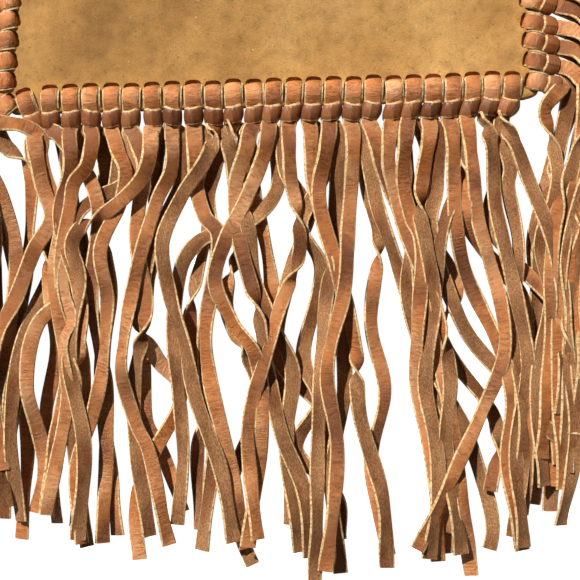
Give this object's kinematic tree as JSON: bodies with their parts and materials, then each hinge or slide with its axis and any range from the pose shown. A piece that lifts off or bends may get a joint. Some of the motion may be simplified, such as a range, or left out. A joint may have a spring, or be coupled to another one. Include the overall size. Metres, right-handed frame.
{
  "type": "fringed suede bag",
  "caption": "Flat open-topped suede shoulder bag. Hitched leather thongs lace its sides and bottom together, and their loose tails are its long fringe.",
  "frame": {"origin": "on the surface that the bag lies on, under the middle of the body", "axes": "+Z out of the front panel, +Y from the fringe to the mouth, +X to the right as the front is looked at"},
  "size_m": [0.4236, 0.6372, 0.0201],
  "materials": {
    "suede": "golden tan suede, napped, mottled and slightly scuffed",
    "thong_leather": "smooth orange-tan grain on one side, fuzzy brown flesh on the other, pale cut edges",
    "strap_leather": "smooth tan grain with pale cut edges"
  },
  "bodies": {
    "root": {"front_panel": "suede", "back_panel": "suede", "bottom_thong_01": "thong_leather", "bottom_thong_02": "thong_leather", "bottom_thong_03": "thong_leather", "bottom_thong_04": "thong_leather", "bottom_thong_05": "thong_leather", "bottom_thong_06": "thong_leather", "bottom_thong_07": "thong_leather", "bottom_thong_08": "thong_leather", "bottom_thong_09": "thong_leather", "bottom_thong_10": "thong_leather", "bottom_thong_11": "thong_leather", "bottom_thong_12": "thong_leather", "bottom_thong_13": "thong_leather", "bottom_thong_14": "thong_leather", "bottom_thong_15": "thong_leather", "bottom_thong_16": "thong_leather", "bottom_thong_17": "thong_leather", "bottom_thong_18": "thong_leather", "bottom_thong_19": "thong_leather", "bottom_thong_20": "thong_leather", "bottom_thong_21": "thong_leather", "bottom_thong_22": "thong_leather", "bottom_thong_23": "thong_leather", "bottom_thong_24": "thong_leather", "bottom_thong_25": "thong_leather", "left_thong_01": "thong_leather", "left_thong_02": "thong_leather", "left_thong_03": "thong_leather", "left_thong_04": "thong_leather", "left_thong_05": "thong_leather", "left_thong_06": "thong_leather", "left_thong_07": "thong_leather", "left_thong_08": "thong_leather", "left_thong_09": "thong_leather", "left_thong_10": "thong_leather", "left_thong_11": "thong_leather", "left_thong_12": "thong_leather", "left_thong_13": "thong_leather", "left_thong_14": "thong_leather", "left_thong_15": "thong_leather", "left_thong_16": "thong_leather", "right_thong_01": "thong_leather", "right_thong_02": "thong_leather", "right_thong_03": "thong_leather", "right_thong_04": "thong_leather", "right_thong_05": "thong_leather", "right_thong_06": "thong_leather", "right_thong_07": "thong_leather", "right_thong_08": "thong_leather", "right_thong_09": "thong_leather", "right_thong_10": "thong_leather", "right_thong_11": "thong_leather", "right_thong_12": "thong_leather", "right_thong_13": "thong_leather", "right_thong_14": "thong_leather", "right_thong_15": "thong_leather", "shoulder_strap": "strap_leather"}
  },
  "joints": []
}
